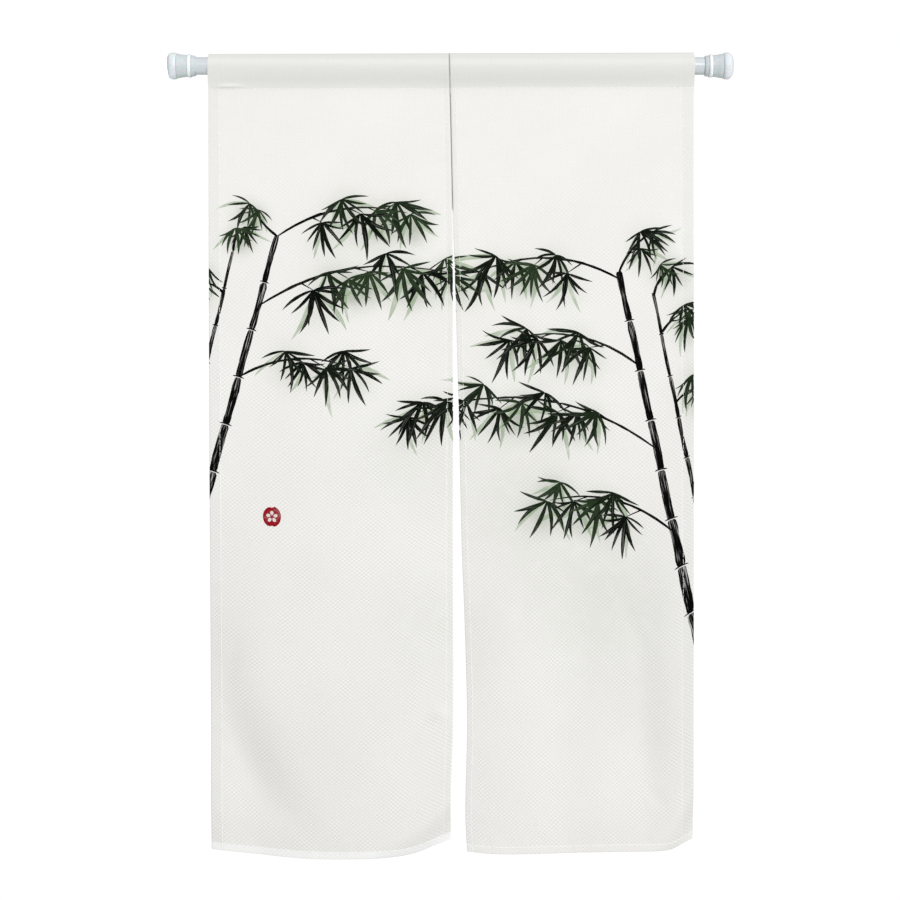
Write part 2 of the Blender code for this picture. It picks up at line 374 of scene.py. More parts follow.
POCKET = 157.0
FLAP = 11.0
STITCHING = (40.8, 37.6)
CREST = (20.2, 23.2)
WRAP_RADIUS = 16.6
LEAVING = math.radians(82)
FRONT = 0.6
DRAWN_IN = 2.4
EASE_OUT = 10.0
SLACK = 6
STIFF_FROM = 0.84
STIFF_OVER = 0.14
SWEEP_OVER = 0.1
SLIT_START = 222.0
POCKET_GRID = 3.0
GRID = 6.5
CLOTH_THICKNESS = 0.8 * MM
HEM_THICKNESS = 1.5 * MM
BLOCK_ACROSS = 4.2 * MM
BLOCK_DOWN = 3.5 * MM
BLOCK_THREADS = 3

EdgeRow = namedtuple("EdgeRow", "drop left right")
HemRow = namedtuple("HemRow", "across drop")
Fold = namedtuple("Fold", "across left right depth slant start sweep hem", defaults=(0.0, 1.0))
Curl = namedtuple("Curl", "side inward upward depth")
Pinch = namedtuple("Pinch", "across drop reach_across reach_down depth slant")
Panel = namedtuple(
    "Panel",
    "name node edges hem_line folds curl pinches left_hem right_hem bottom_hem foot_pale print_shift",
)

LEFT_PANEL = Panel(
    name="cloth_left",
    node="panel_left",
    edges=[
        EdgeRow(-21, 73.6, 502.2),
        EdgeRow(260, 73.8, 508.2),
        EdgeRow(560, 75.0, 509.6),
        EdgeRow(860, 76.2, 509.2),
        EdgeRow(1160, 77.2, 509.6),
        EdgeRow(1290, 77.4, 505.6),
        EdgeRow(1340, 78.0, 505.4),
        EdgeRow(1414, 79.0, 508.0),
    ],
    hem_line=[
        HemRow(0.00, 1396),
        HemRow(0.20, 1404),
        HemRow(0.40, 1410),
        HemRow(0.60, 1410),
        HemRow(0.78, 1407),
        HemRow(0.86, 1401),
        HemRow(0.93, 1390),
        HemRow(1.00, 1379),
    ],
    folds=[
        Fold(across=0.56, left=0.38, right=0.50, depth=-15, slant=0.06, start=0.12),
        Fold(across=-0.05, left=0.42, right=0.14, depth=17, slant=0.00, start=0.40, sweep=0.55, hem=0.1),
        Fold(across=0.05, left=0.10, right=0.10, depth=-3, slant=0.10, start=0.35),
        Fold(across=-0.08, left=0.30, right=0.34, depth=10, slant=0.00, start=0.82),
        Fold(across=1.02, left=0.20, right=0.20, depth=-2, slant=0.05, start=0.55),
        Fold(across=1.02, left=0.07, right=0.10, depth=-2, slant=0.00, start=0.60),
    ],
    curl=Curl(side=1, inward=165, upward=80, depth=24),
    pinches=[
        Pinch(across=37, drop=-3.5, reach_across=21, reach_down=3.2, depth=-2.6, slant=0.0),
        Pinch(across=403, drop=1122, reach_across=14, reach_down=12, depth=-2.8, slant=-0.3),
        Pinch(across=36, drop=1030, reach_across=12, reach_down=40, depth=0.8, slant=0.2),
    ],
    left_hem=20,
    right_hem=11,
    bottom_hem=13,
    foot_pale=0.9,
    print_shift=(75.0, 40.0),
)
RIGHT_PANEL = Panel(
    name="cloth_right",
    node="panel_right",
    edges=[
        EdgeRow(-21, 503.0, 938.4),
        EdgeRow(260, 509.0, 938.8),
        EdgeRow(420, 514.0, 938.8),
        EdgeRow(640, 520.0, 938.6),
        EdgeRow(860, 525.0, 938.4),
        EdgeRow(990, 530.0, 938.4),
        EdgeRow(1165, 534.4, 938.6),
        EdgeRow(1290, 531.8, 938.8),
        EdgeRow(1340, 531.4, 939.4),
        EdgeRow(1406, 535.0, 940.6),
    ],
    hem_line=[
        HemRow(0.00, 1398),
        HemRow(0.12, 1402),
        HemRow(0.35, 1402),
        HemRow(0.60, 1400),
        HemRow(0.88, 1400),
        HemRow(0.92, 1396.5),
        HemRow(1.00, 1381.5),
    ],
    folds=[
        Fold(across=0.16, left=0.26, right=0.34, depth=-9, slant=-0.04, start=0.15),
        Fold(across=0.42, left=0.12, right=0.12, depth=3, slant=-0.12, start=0.38),
        Fold(across=0.62, left=0.16, right=0.20, depth=-4.5, slant=-0.06, start=0.30),
        Fold(across=0.775, left=0.30, right=0.125, depth=20, slant=0.10, start=0.42, hem=0.3),
        Fold(across=1.04, left=0.16, right=0.16, depth=5, slant=0.00, start=0.60),
    ],
    curl=Curl(side=1, inward=80, upward=115, depth=24),
    pinches=[
        Pinch(across=318, drop=955, reach_across=14, reach_down=34, depth=1.4, slant=-0.3),
        Pinch(across=110, drop=925, reach_across=12, reach_down=30, depth=1.2, slant=0.2),
        Pinch(across=366, drop=1268, reach_across=12, reach_down=16, depth=1.2, slant=-0.5),
    ],
    left_hem=11,
    right_hem=21,
    bottom_hem=13,
    foot_pale=0.12,
    print_shift=(508.0, 40.0),
)


def curve_through(rows, at):
    """The values at places on a smooth curve through a table's (place, value) rows."""
    places, values = np.array([row[:2] for row in rows], float).T
    order = np.arange(len(rows))
    first, last = np.maximum(order - 1, 0), np.minimum(order + 1, len(rows) - 1)
    slopes = (values[last] - values[first]) / (places[last] - places[first])
    at = np.clip(at, places[0], places[-1])
    k = np.clip(np.searchsorted(places, at, side="right") - 1, 0, len(rows) - 2)
    span = places[k + 1] - places[k]
    t = (at - places[k]) / span
    ease = t * t * (3 - 2 * t)
    leave = t * (1 - t) ** 2 * span * slopes[k]
    arrive = t * t * (t - 1) * span * slopes[k + 1]
    return values[k] * (1 - ease) + values[k + 1] * ease + leave + arrive


def eased(t):
    """Goes smoothly from 0 to 1 as t does, and stays level beyond."""
    t = np.clip(t, 0, 1)
    return t * t * (3 - 2 * t)


def panel_width(panel):
    """The width of the panel at its pocket, hems turned."""
    return panel.edges[0].right - panel.edges[0].left


def panel_drop(panel):
    """The length of the panel below the pocket's stitching, with the slack that its folds take."""
    return panel.hem_line[0].drop - STITCHING[0] + SLACK


def bezier(corners, steps):
    """Points on a cubic curve from the first corner to the last, the first one left out."""
    a, b, c, d = (np.array(corner, float) for corner in corners)
    t = np.linspace(0, 1, steps + 1)[1:, None]
    return a * (1 - t) ** 3 + b * 3 * t * (1 - t) ** 2 + c * 3 * t * t * (1 - t) + d * t**3


def pocket_path(stitching, crest):
    """The outside of the pocket as (y, z) points, from the front stitching to the flap's end.

    The cloth leaves the tube low on its sides and draws in gently to the stitching.
    """
    peak = crest + 1.2
    top = math.pi - math.acos(WRAP_RADIUS / peak)
    front = np.array([-FRONT - DRAWN_IN, -stitching])
    back = np.array([1.8 - DRAWN_IN - FRONT, -stitching])
    swell, mirror = np.array([3.2, 9.0]), np.array([-1, 1])
    turns = np.linspace(LEAVING, top, 12)
    arc = WRAP_RADIUS * np.stack([-np.sin(turns), -np.cos(turns)], axis=1)
    slant = 14 * np.array([math.cos(LEAVING), -math.sin(LEAVING)])
    rising = bezier((front, front + swell * mirror, arc[0] + slant, arc[0]), 12)
    shoulder = arc[-1] * 0.4 + np.array([0, peak]) * 0.6
    crown = bezier((arc[-1], shoulder, (shoulder[0] * 0.3, peak), (0, peak)), 5)
    climb = np.concatenate([rising, arc[1:], crown])
    descent = climb[::-1][1:] * mirror
    descent = descent[: len(descent) - len(rising) + 1]
    foot = bezier((descent[-1], descent[-1] + slant * mirror, back + swell, back), 12)
    flap = [back + (1.7, -FLAP)]
    return np.concatenate([[front], climb, descent, foot, flap])


def along_path(path, share):
    """Points at shares of a path's length."""
    steps = np.hypot(*np.diff(path, axis=0).T)
    marks = np.concatenate([[0], np.cumsum(steps)]) / steps.sum()
    return np.interp(share, marks, path[:, 0]), np.interp(share, marks, path[:, 1])


def ripples(panel, u, v):
    """Small unevenness of the cloth: slow waves, and puckers along the stitched hems."""
    width, drop = panel_width(panel), panel_drop(panel)
    seed = 1.7 if panel.node == "panel_left" else 4.1
    slow = np.sin(u / 61 + v / 190 + seed) * np.sin(v / 143 - u / 260 + seed * 2)
    quick = np.sin(u / 23 + 2.2 * np.sin(v / 120 + seed)) * np.sin(v / 57 + seed * 3)
    height = (0.9 * slow + 0.25 * quick) * eased(v / 500)
    for seam in (panel.left_hem, width - panel.right_hem):
        pucker = np.sin(v / 7.4 + 1.9 * np.sin(v / 31 + seam)) * np.exp(-(((u - seam) / 9) ** 2))
        height += 0.22 * pucker * eased(v / 40)
    pucker = np.sin(u / 6.8 + 2.1 * np.sin(u / 37))
    pucker *= np.exp(-(((v - drop + panel.bottom_hem) / 8) ** 2))
    return height + 0.22 * pucker


def turned_edges(panel, u, v):
    """How far the cloth rounds back at its edges, and how near it is to the slit's closed stretch."""
    width, drop = panel_width(panel), panel_drop(panel)
    rim = np.minimum(np.minimum(u, width - u), drop - v)
    rim_back = 0.5 * np.clip(1 - rim / 1.8, 0, 1) ** 2 * (v > 0)
    from_slit = width - u if panel.node == "panel_left" else u
    closed = 1 - eased((v - SLIT_START + 8) / 12)
    slit_back = np.clip(1 - from_slit / 2.4, 0, 1) ** 2 * closed * np.where(v < 0, 0.7, 1.7)
    return rim_back + slit_back, closed * np.exp(-from_slit / 60)


def hang(panel, u, v):
    """Where the front of the cloth hangs, in metres, for places on its flat cut.

    The places are millimetres across from the panel's left edge and down from the pocket's
    stitching. Above the stitching they run over the pocket and down its back.
    """
    u, v = np.asarray(u, float), np.asarray(v, float)
    across = u / panel_width(panel)
    down = np.clip(v / panel_drop(panel), 0, 1)
    lefts = [(row.drop, row.left) for row in panel.edges]
    rights = [(row.drop, row.right) for row in panel.edges]
    top = curve_through(lefts, 0 * u) * (1 - across) + curve_through(rights, 0 * u) * across
    share = top * MM / ROD_LENGTH
    stitching = STITCHING[0] + (STITCHING[1] - STITCHING[0]) * share
    z = -(stitching + (curve_through(panel.hem_line, across) - stitching) * down)
    y = -FRONT - DRAWN_IN * np.exp(-np.maximum(v, 0) / EASE_OUT)

    # The folds grow from where they start down to the hem, and the lower corner curls back.
    for fold in panel.folds:
        sweep = fold.sweep * np.exp((down - 1) / SWEEP_OVER)
        middle = fold.across + fold.slant * (down - 1) + sweep
        half_width = np.where(across < middle, fold.left, fold.right)
        bell = np.exp(-(((across - middle) / half_width) ** 2))
        stiff = 1 - (1 - fold.hem) * eased((down - STIFF_FROM) / STIFF_OVER)
        y += fold.depth * bell * eased((down - fold.start) / (1 - fold.start)) * stiff
    from_side = np.abs(panel.curl.side - across) * (panel.edges[-1].right - panel.edges[-1].left)
    from_hem = (1 - down) * panel.hem_line[-1].drop
    y += panel.curl.depth * eased(1 - from_side / panel.curl.inward - from_hem / panel.curl.upward)
    y += ripples(panel, u, v)

    # Above the stitching the cloth follows the pocket's path, which is lower on the left.
    turn = np.clip(-v / POCKET, 0, 1)
    y_left, z_left = along_path(pocket_path(STITCHING[0], CREST[0]), turn)
    y_right, z_right = along_path(pocket_path(STITCHING[1], CREST[1]), turn)
    over = v < 0
    y = np.where(over, y_left + (y_right - y_left) * share, y)
    z = np.where(over, z_left + (z_right - z_left) * share, z)

    # Edges and small wrinkles.
    sunk, closing = turned_edges(panel, u, v)
    y += np.where(over & (turn > 0.45), 0, sunk)
    for pinch in panel.pinches:
        sideways = (u - pinch.across + pinch.slant * (v - pinch.drop)) / pinch.reach_across
        y += pinch.depth * np.exp(-(sideways**2) - ((v - pinch.drop) / pinch.reach_down) ** 2)
    if panel.node == "panel_left":
        closing = -closing
    x = curve_through(lefts, -z) * (1 - across) + curve_through(rights, -z) * across
    return np.stack([x - 0.25 * closing, y, z], axis=-1) * MM


# Print on the cloth
# A bamboo grove in brushed ink, printed before the panels were cut apart: culms, boughs and
# hanging leaves in black, charcoal and dark green over pale washes, with a small red roundel.

# Places and sizes are in millimetres, from the rod's left end and down from its axis. Boughs head
# in degrees, where 90 is straight down.

Stroke = namedtuple("Stroke", "shape x drop heading length bend width ink green dry red seed")
Culm = namedtuple("Culm", "foot_x foot_drop head_x head_drop joints width ink")
Bough = namedtuple("Bough", "x drop heading length arch sprays size")
Wash = namedtuple("Wash", "x drop reach strength")
CULMS = [
    Culm(958, 1076, 806, 366, joints=8, width=10.5, ink=0.99),
    Culm(976, 930, 868, 404, joints=7, width=5.2, ink=0.98),
    Culm(58, 808, 196, 298, joints=6, width=9.0, ink=0.99),
    Culm(56, 596, 118, 328, joints=4, width=4.6, ink=0.98),
]
BOUGHS = [
    Bough(808, 382, -176, 248, arch=0.12, sprays=6, size=74),
    Bough(842, 536, -168, 236, arch=0.12, sprays=6, size=74),
    Bough(873, 684, -172, 446, arch=0.13, sprays=11, size=78),
    Bough(904, 832, -166, 236, arch=0.12, sprays=6, size=74),
    Bough(806, 372, -52, 92, arch=0.08, sprays=3, size=60),
    Bough(884, 478, -38, 60, arch=0.10, sprays=3, size=60),
    Bough(870, 412, -60, 56, arch=0.10, sprays=2, size=58),
    Bough(908, 606, -30, 44, arch=0.10, sprays=2, size=60),
    Bough(196, 302, -10, 232, arch=0.12, sprays=6, size=72),
    Bough(163, 426, -9, 338, arch=0.12, sprays=9, size=78),
    Bough(130, 552, -6, 190, arch=0.12, sprays=5, size=72),
    Bough(196, 302, -128, 70, arch=-0.08, sprays=2, size=54),
    Bough(100, 404, -150, 34, arch=0.08, sprays=2, size=54),
    Bough(118, 330, -70, 44, arch=0.08, sprays=2, size=54),
]
# Broad soft patches where the cloth is tinted a little darker and greener, laid in with the washes.
BROAD_DARKENINGS = [
    Wash(415, 693, reach=90, strength=0.10),
    Wash(629, 773, reach=110, strength=0.13),
    Wash(771, 960, reach=140, strength=0.14),
    Wash(460, 1000, reach=90, strength=0.08),
]
ROUNDEL = (185, 800)
NODE_GAP = 2.2
WATERY = 3.0
GHOST = 0.16
BRUSH_SEED = 23
OUTLINE_STEPS = {"leaf": 10, "culm": 8, "twig": 12, "round": 12, "dab": 6}


def brush_width(shape, along):
    """A stroke's half width along it, as a share of its widest."""
    if shape == "leaf":
        return along**0.62 * (1 - along) ** 0.85 * 2.66
    if shape == "culm":
        return (1 - 0.17 * np.sin(np.pi * along)) * (1 - 0.4 * (2 * along - 1) ** 14)
    if shape == "twig":
        return (1 - 0.6 * along) * (1 - 0.6 * (2 * along - 1) ** 10)
    return np.sqrt(np.maximum(1 - (2 * along - 1) ** 2, 0))


def stroke_width(stroke, along):
    """The half width with the brush's wobble, in millimetres."""
    wobble = 1 + 0.07 * np.sin(8 * along + stroke.seed) + 0.04 * np.sin(19 * along + 2 * stroke.seed)
    return np.maximum(stroke.width * brush_width(stroke.shape, along) * wobble, 0.12)


def stroke_outline(stroke, steps):
    """The stroke's outline on the flat cloth, down one side and back up the other."""
    along = (1 - np.cos(np.linspace(0, np.pi, steps + 1))) / 2
    half = stroke_width(stroke, along)
    middle = stroke.bend * stroke.length * 4 * along * (1 - along)
    forward = np.concatenate([along, along[::-1]]) * stroke.length
    sideways = np.concatenate([middle + half, (middle - half)[::-1]])
    c, s = math.cos(stroke.heading), math.sin(stroke.heading)
    x = stroke.x + forward * c - sideways * s
    drop = stroke.drop + forward * s + sideways * c
    return np.stack([x, drop], axis=1)


def brush_place(stroke, points):
    """Points in the stroke's own frame: 0 to 1 along it, and -1 to 1 across it."""
    c, s = math.cos(stroke.heading), math.sin(stroke.heading)
    x, y = points[..., 0] - stroke.x, points[..., 1] - stroke.drop
    along = (x * c + y * s) / stroke.length
    t = np.clip(along, 0, 1)
    middle = stroke.bend * stroke.length * 4 * t * (1 - t)
    return along, (-x * s + y * c - middle) / stroke_width(stroke, t)


class Brush:
    """Gathers strokes in three layers, pale leaves, wood and dark leaves, and the soft washes."""

    def __init__(self, seed):
        self.draw = random.Random(seed)
        self.pale, self.wood, self.leaves, self.washes = [], [], [], []

    def stroke(self, layer, shape, start, heading, length, bend, width, ink, green=0.0, dry=0.3, red=0.0):
        seed = self.draw.randrange(90)
        layer.append(Stroke(shape, *start, heading, length, bend, width, ink, green, dry, red, seed))

    def leaf(self, layer, start, heading, length, ink, green):
        bend = self.draw.uniform(-0.1, 0.1)
        width = length * self.draw.uniform(0.046, 0.062)
        self.stroke(layer, "leaf", start, heading, length, bend, width, ink, green, dry=0.35)

    def culm(self, culm):
        """A culm of long joints with a gap and a dark dab at each node, drier towards its ends."""
        run, rise = culm.head_x - culm.foot_x, culm.head_drop - culm.foot_drop
        heading, length = math.atan2(rise, run), math.hypot(run, rise) / culm.joints
        joint, half_gap = length - NODE_GAP, NODE_GAP / 2
        for k in range(culm.joints):
            share = k / culm.joints
            x, drop = culm.foot_x + run * share, culm.foot_drop + rise * share
            width = culm.width * (1 - 0.45 * share)
            bend = 0.008 * (-1) ** k
            self.stroke(self.wood, "culm", (x, drop), heading, joint, bend, width, culm.ink, dry=0.8)
            if k:
                reach = width * 1.5
                start = (
                    x + math.sin(heading) * reach - math.cos(heading) * half_gap,
                    drop - math.cos(heading) * reach - math.sin(heading) * half_gap,
                )
                across = heading + math.pi / 2
                self.stroke(self.wood, "dab", start, across, reach * 2, -0.07, 1.6, culm.ink)

    def spray(self, start, heading, size, fresh):
        """A fan of leaves that hangs from a twig's end over a soft wash, with paler leaves behind."""
        draw = self.draw
        count = draw.choice((7, 8, 9))
        green = draw.choice((0.0, 0.1, 0.2, 0.45, 0.9))
        middle = Vector(start) + size * 0.4 * Vector((math.cos(heading), math.sin(heading)))
        self.washes.append(Wash(*middle, size * draw.uniform(0.36, 0.5), 0.25 + 0.6 * green))
        for side in (-1, 1):
            spread = math.radians(side * draw.uniform(20, 62))
            self.leaf(self.pale, start, heading + spread, size * draw.uniform(0.95, 1.2), 0.85, WATERY)
        for k in range(count):
            fan = (k + draw.uniform(-0.3, 0.3)) / (count - 1) * 2 - 1
            length = size * (1.08 - 0.36 * abs(fan)) * draw.uniform(0.75, 1.1)
            self.leaf(self.leaves, start, heading + math.radians(fan * 78), length, 0.99, green + fresh)

    def bough(self, bough):
        """An arching bough with twiglets to both sides, each ending in a spray."""
        draw = self.draw
        heading = math.radians(bough.heading)
        side = 1 if math.cos(heading) > 0 else -1
        bend = -bough.arch * side
        self.stroke(self.wood, "twig", (bough.x, bough.drop), heading, bough.length, bend, 2.8, 0.98)
        for k in range(bough.sprays):
            t = 1 - (k / bough.sprays) * 0.86
            sideways = bend * bough.length * 4 * t * (1 - t)
            x = bough.x + math.cos(heading) * bough.length * t - math.sin(heading) * sideways
            drop = bough.drop + math.sin(heading) * bough.length * t + math.cos(heading) * sideways
            turn = side * math.radians(draw.uniform(18, 44)) * (-1 if k % 3 == 1 else 1)
            reach = draw.uniform(14, 34) if k else 6
            tip = (x + math.cos(heading + turn) * reach, drop + math.sin(heading + turn) * reach)
            if k:
                self.stroke(self.wood, "twig", (x, drop), heading + turn, reach, 0.0, 1.5, 0.97)
            hanging = math.pi / 2 - side * math.radians(draw.uniform(8, 44))
            self.spray(tip, hanging, bough.size * draw.uniform(0.82, 1.08), draw.uniform(0, 0.15))

    def roundel(self, x, drop):
        """A plain red roundel with five cream petals."""
        self.stroke(self.leaves, "round", (x - 16, drop), 0.0, 32, 0.0, 18, 0.95, dry=0.25, red=1.0)
        for k in range(5):
            heading = math.radians(72 * k - 90)
            start = (x + 3 * math.cos(heading), drop + 3 * math.sin(heading))
            self.stroke(self.leaves, "dab", start, heading, 7.5, 0.0, 3.0, 0.16, red=1.0)


def grove():
    """Every stroke of the print in the order in which the brush laid them, and the washes."""
    brush = Brush(BRUSH_SEED)
    for culm in CULMS:
        brush.culm(culm)
    for bough in BOUGHS:
        brush.bough(bough)
    brush.roundel(*ROUNDEL)
    return brush.pale + brush.wood + brush.leaves, brush.washes + BROAD_DARKENINGS


def wash_strength(washes, x, drop):
    """How strongly the soft washes tint each place, from 0 to 1."""
    clear = np.ones_like(x)
    for wash in washes:
        apart = (x - wash.x) ** 2 + (drop - wash.drop) ** 2
        clear *= 1 - wash.strength * np.exp(-apart / wash.reach**2)
    return 1 - clear


def cut_grid(panel):
    """Places on the flat cut where the folded cloth needs points, closer together at its seams."""
    width, drop = panel_width(panel), panel_drop(panel)
    inner = np.linspace(panel.left_hem + 2, width - panel.right_hem - 2, int(width / GRID))
    left = np.linspace(0, panel.left_hem, 1 + math.ceil(panel.left_hem / GRID))
    right = width - np.linspace(0, panel.right_hem, 1 + math.ceil(panel.right_hem / GRID))
    rim = np.array([0.6, 1.2, 2.4])
    us = np.unique(np.concatenate([left, inner, right, rim, width - rim]).round(4))
    seam = drop - panel.bottom_hem
    body = np.concatenate([[0.8, 1.6, 2.6, 3.8, 5.5], np.linspace(8, seam - 2, int(drop / GRID))])
    hem = np.concatenate([np.linspace(seam, drop, 3), drop - rim])
    pocket = np.concatenate([np.linspace(-POCKET, 0, int(POCKET / POCKET_GRID)), [-4.6, -1.5]])
    vs = np.unique(np.concatenate([pocket, body, hem]).round(4))
    return us, vs


def cut_along_print(panel, strokes, shift):
    """The flat cut as points and triangles whose edges follow the strokes, and the strokes on it."""
    width, drop = panel_width(panel), panel_drop(panel)
    us, vs = cut_grid(panel)
    grid_u, grid_v = np.meshgrid(us, vs)
    points = np.stack([grid_u.ravel(), grid_v.ravel()], axis=1)
    outlines = []
    drawn = []
    for stroke in strokes:
        outline = stroke_outline(stroke, OUTLINE_STEPS[stroke.shape]) - shift
        reach_u, reach_v = outline[:, 0], outline[:, 1]
        if reach_u.max() < 0 or reach_u.min() > width or reach_v.max() < 0 or reach_v.min() > drop:
            continue
        outlines.append(list(range(len(points), len(points) + len(outline))))
        points = np.concatenate([points, outline])
        drawn.append(stroke)
    flat, _, triangles, *_ = delaunay_2d_cdt([Vector(p) for p in points], [], outlines, 0, 0.01, False)
    flat = np.array([tuple(p) for p in flat])
    triangles = np.array(triangles)[:, ::-1]
    centres = flat[triangles].mean(axis=1)
    inside = ((centres > (0, -POCKET)) & (centres < (width, drop))).all(axis=1)
    return np.clip(flat, (0, -POCKET), (width, drop)), triangles[inside], centres[inside], drawn


def brushed_ink(flat, triangles, centres, strokes, shift):
    """The place in its stroke of each corner, and the ink of each triangle.

    The last stroke shows. Dark ink adds to what lies under it, and pale ink, as in the petals,
    covers it.
    """
    corners = flat[triangles]
    brush = np.zeros((len(triangles), 3, 2))
    ink = np.zeros((len(triangles), 4))
    for stroke in strokes:
        along, across = brush_place(stroke, centres + shift)
        covered = (along > 0) & (along < 1) & (np.abs(across) < 1)
        corner_along, corner_across = brush_place(stroke, corners[covered] + shift)
        corner_along = stroke.seed + np.clip(corner_along, 0.002, 0.998)
        brush[covered] = np.stack([corner_along, corner_across], axis=-1)
        under = ink[covered, 0]
        ink[covered, 0] = 1 - (1 - under) * (1 - stroke.ink) if stroke.ink > 0.5 else stroke.ink
        ink[covered, 1:] = (stroke.green, stroke.dry, stroke.red)
    return brush, ink


def weave_panel(panel, strokes, washes):
    """The printed panel as one mesh whose edges follow the print, laid out flat and then hung."""
    width, drop = panel_width(panel), panel_drop(panel)
    shift = np.array(panel.print_shift)
    flat, triangles, centres, drawn = cut_along_print(panel, strokes, shift)
    brush, ink = brushed_ink(flat, triangles, centres, drawn, shift)
    used, corner_index = np.unique(triangles, return_inverse=True)
    places = flat[used]
    u, v = places.T

    mesh = bpy.data.meshes.new(panel.name)
    mesh.from_pydata(hang(panel, u, v).tolist(), [], corner_index.reshape(-1, 3).tolist())
    sheet = mesh.uv_layers.new(name="cloth")
    sheet.uv.foreach_set("vector", (places[corner_index.ravel()] * MM).astype(np.float32).ravel())
    stroke_map = mesh.uv_layers.new(name="brush")
    stroke_map.uv.foreach_set("vector", brush.astype(np.float32).ravel())
    colour = mesh.color_attributes.new("ink", "FLOAT_COLOR", "CORNER")
    colour.data.foreach_set("color", np.repeat(ink, 3, axis=0).astype(np.float32).ravel())
    soft = mesh.attributes.new("wash", "FLOAT", "POINT")
    soft.data.foreach_set("value", wash_strength(washes, *(places + shift).T).astype(np.float32))
    mesh.shade_smooth()

    piece = placed(panel.name, mesh)
    hems = piece.vertex_groups.new(name="hems")
    in_side_hem = (u < panel.left_hem + 0.5) | (u > width - panel.right_hem - 0.5)
    in_bottom_hem = v > drop - panel.bottom_hem - 0.5
    hems.add(np.flatnonzero(in_side_hem | in_bottom_hem).tolist(), 1.0, "REPLACE")
    return piece


def hopsack(made, flat, u, v):
    """It follows the cloth's own map, in metres, in blocks of three threads that pass over and
    under in turn.
    """
    drift = made.noise(flat, 9, 2) * 1.5
    across, down = u / BLOCK_ACROSS + drift, v / BLOCK_DOWN + drift
    cell_across, cell_down = across.math("FLOOR"), down.math("FLOOR")
    warp_up = (cell_across + cell_down).math("MODULO", 2).math("ABSOLUTE")
    lift_warp = ((down - cell_down) * math.pi).math("SINE")
    lift_weft = ((across - cell_across) * math.pi).math("SINE")
    ridge_warp = (across * math.pi * BLOCK_THREADS).math("SINE").math("ABSOLUTE")
    ridge_weft = (down * math.pi * BLOCK_THREADS).math("SINE").math("ABSOLUTE")
    warp = lift_warp * (0.55 + ridge_warp * 0.45)
    weft = lift_weft * (0.55 + ridge_weft * 0.45)
    threads = warp * warp_up + weft * (1 - warp_up)

    slub_warp = made.noise(made.vector(u * 1100, v * 34), 1.0, 2)
    slub_weft = made.noise(made.vector(u * 34, v * 1100), 1.0, 2)
    slub = slub_warp * warp_up + slub_weft * (1 - warp_up)
    beat = made.noise(flat, 26, 2).rises(0.32, 0.68)
    return threads, slub, (warp_up - 0.5) * (0.35 + beat * 0.65)


def printed(made, flat, cloth, threads, through):
    """The cloth's colour with the print on it, and the ink's depth. Through is the share that shows.

    A stroke whose green is WATERY is a pale leaf in thinned ink.
    """
    brush = made.node("ShaderNodeUVMap", {"uv_map": "brush"})
    along, side, _ = made.parts(brush)
    share = along - along.math("FLOOR")
    ink = made.node("ShaderNodeAttribute", {"attribute_name": "ink"})
    depth, green, dry = made.parts(ink)
    red = made.node("ShaderNodeAttribute", {"attribute_name": "ink"}, output="Alpha")
    streak = made.noise(made.vector(along * 2.2, side * 4.5, along * 0.2), 1.0, 3)
    gap = (streak + share * 0.12).rises(0.6, 0.78) * dry
    pool = side.math("ABSOLUTE").rises(0.5, 1.0) * 0.1
    fade = made.noise(made.vector(along * 3.1, side * 0.8), 1.0, 1)
    depth = depth * (1 - gap * 0.75) * (0.98 + fade * 0.1 + pool) * (0.985 + threads * 0.05)
    watery = green.rises(1.5, 2.5)
    cloud = made.noise(flat, 30, 3).rises(0.1, 0.62)
    depth = depth * (1 - watery * (1 - cloud * (0.4 + fade * 0.6)) * 0.75)
    depth = depth.math("MINIMUM", 1.0).math("MAXIMUM", 0.0)
    wash = made.node("ShaderNodeAttribute", {"attribute_name": "wash"}, output="Fac")
    wash = wash * (0.45 + cloud * 0.55)
    tint = (green * (0.3 + fade * 0.8) + gap * 0.3).math("MINIMUM", 1.0)
    pigment = made.mix(tint, (0.0015, 0.0018, 0.0015), (0.026, 0.05, 0.02))
    pigment = made.mix(watery, pigment, (0.27, 0.38, 0.22))
    pigment = made.mix(red, pigment, (0.30, 0.008, 0.016))
    washed = made.mix(wash * 0.8 * through, cloth, (0.225, 0.275, 0.18))
    return made.mix(depth * through, washed, pigment), depth


